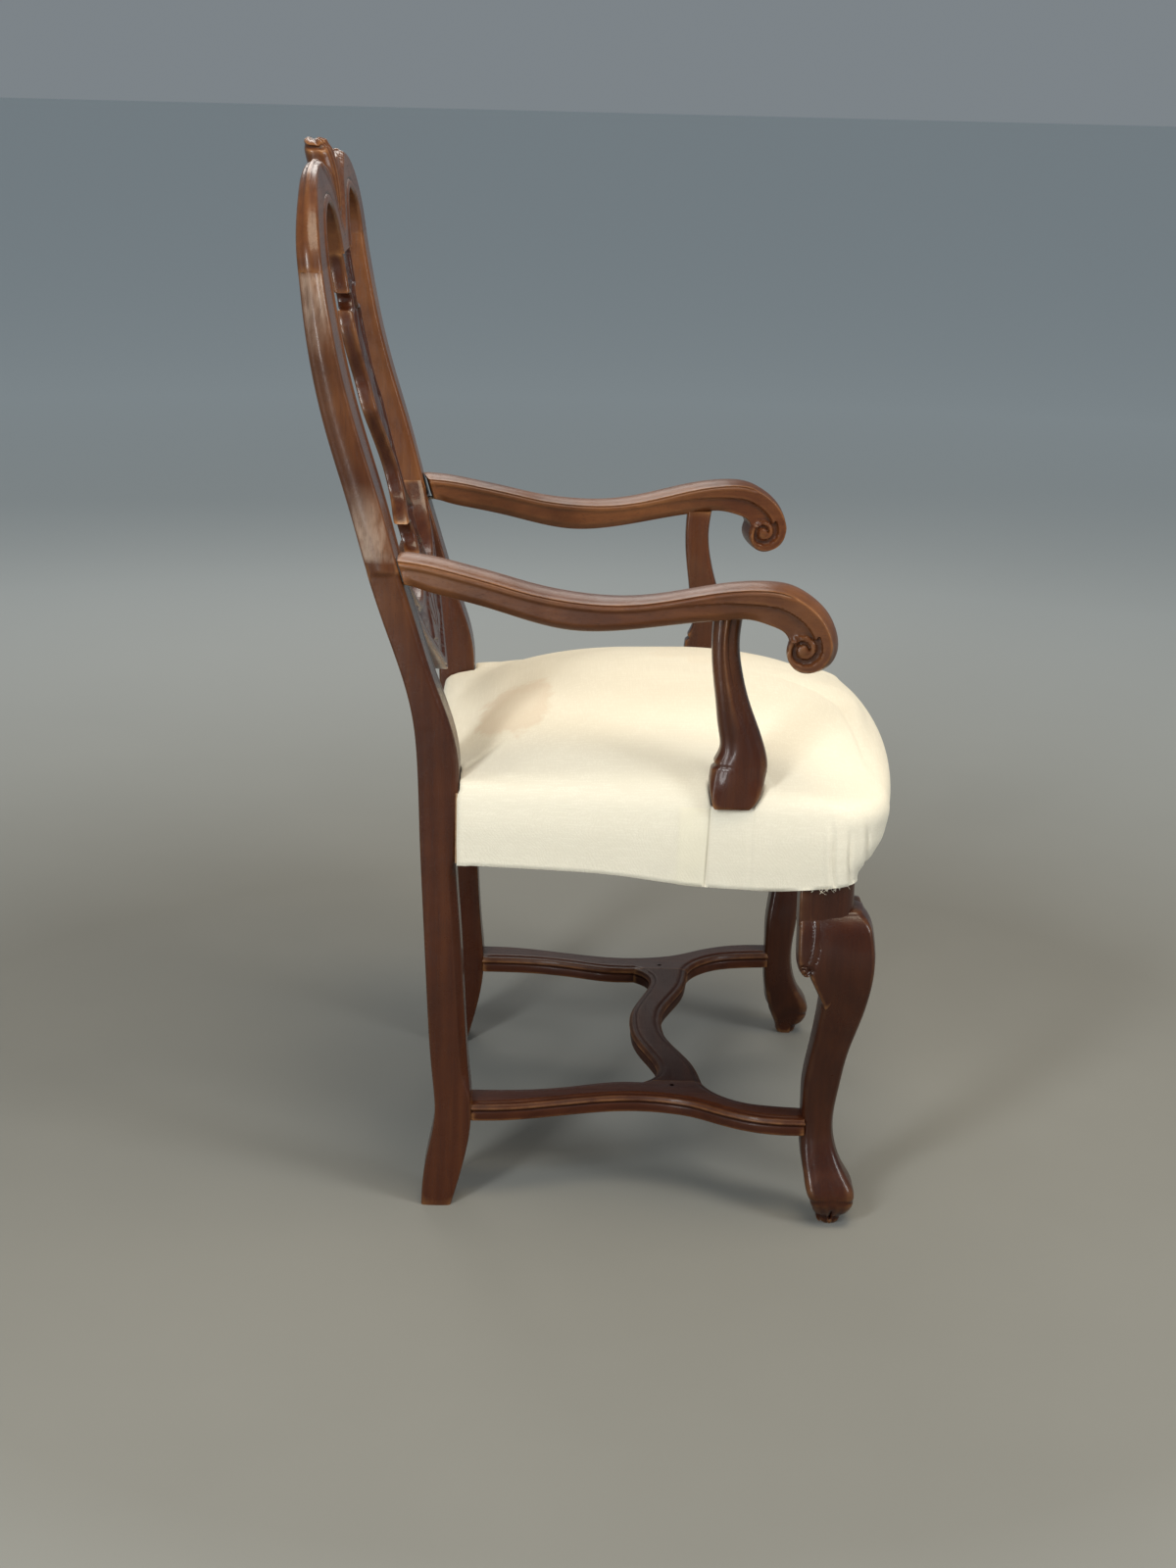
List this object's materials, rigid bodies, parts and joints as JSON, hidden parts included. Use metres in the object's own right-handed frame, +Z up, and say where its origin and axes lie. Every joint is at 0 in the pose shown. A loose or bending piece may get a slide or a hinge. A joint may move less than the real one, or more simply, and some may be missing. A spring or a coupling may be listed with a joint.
{
  "type": "open armchair",
  "caption": "Open armchair with a pierced hoop back and carved splat, scrolled arms, cabriole front legs, a waved flat stretcher and a stuffed-over seat in plain muslin.",
  "frame": {"origin": "on the floor, under the middle of the whole chair", "axes": "+Z up, the sitter faces -Y, the sitter's right is -X"},
  "size_m": [0.6614, 0.64, 1.1],
  "materials": {
    "show_wood": "carved and polished hardwood, dark red-brown, worn golden on the edges",
    "rail_wood": "sawn beech, unpolished",
    "peg_wood": "cleft oak",
    "screw_steel": "slotted wood screws, dulled",
    "tack_steel": "blued cut tacks",
    "webbing": "woven jute webbing",
    "hessian": "plain woven jute",
    "stuffing": "curled hair and fibre",
    "wadding": "cotton wadding",
    "muslin": "unbleached cotton, plain weave"
  },
  "bodies": {
    "root": {"rear_stile_right": "show_wood", "rear_stile_left": "show_wood", "crest_rail": "show_wood", "back_splat": "show_wood", "lower_back_rail": "show_wood", "arm_right": "show_wood", "arm_left": "show_wood", "arm_support_right": "show_wood", "arm_support_left": "show_wood", "front_leg_right": "show_wood", "front_leg_left": "show_wood", "side_stretcher_right": "show_wood", "side_stretcher_left": "show_wood", "cross_stretcher": "show_wood", "seat_front_rail": "rail_wood", "seat_rear_rail": "rail_wood", "seat_side_rail_right": "rail_wood", "seat_side_rail_left": "rail_wood", "corner_block_front_right": "rail_wood", "corner_block_front_left": "rail_wood", "corner_block_rear_right": "rail_wood", "corner_block_rear_left": "rail_wood", "corner_block_screws": "screw_steel", "arm_screws": "screw_steel", "arm_support_screws": "screw_steel", "seat_rail_pegs": "peg_wood", "back_pegs": "peg_wood", "stretcher_pegs": "peg_wood", "webbing_lengthwise": "webbing", "webbing_crosswise": "webbing", "seat_hessian": "hessian", "front_edge_roll": "stuffing", "first_stuffing": "stuffing", "stuffing_scrim": "hessian", "second_stuffing": "stuffing", "seat_wadding": "wadding", "muslin_cover": "muslin", "webbing_tacks": "tack_steel", "cover_tacks": "tack_steel"}
  },
  "joints": []
}
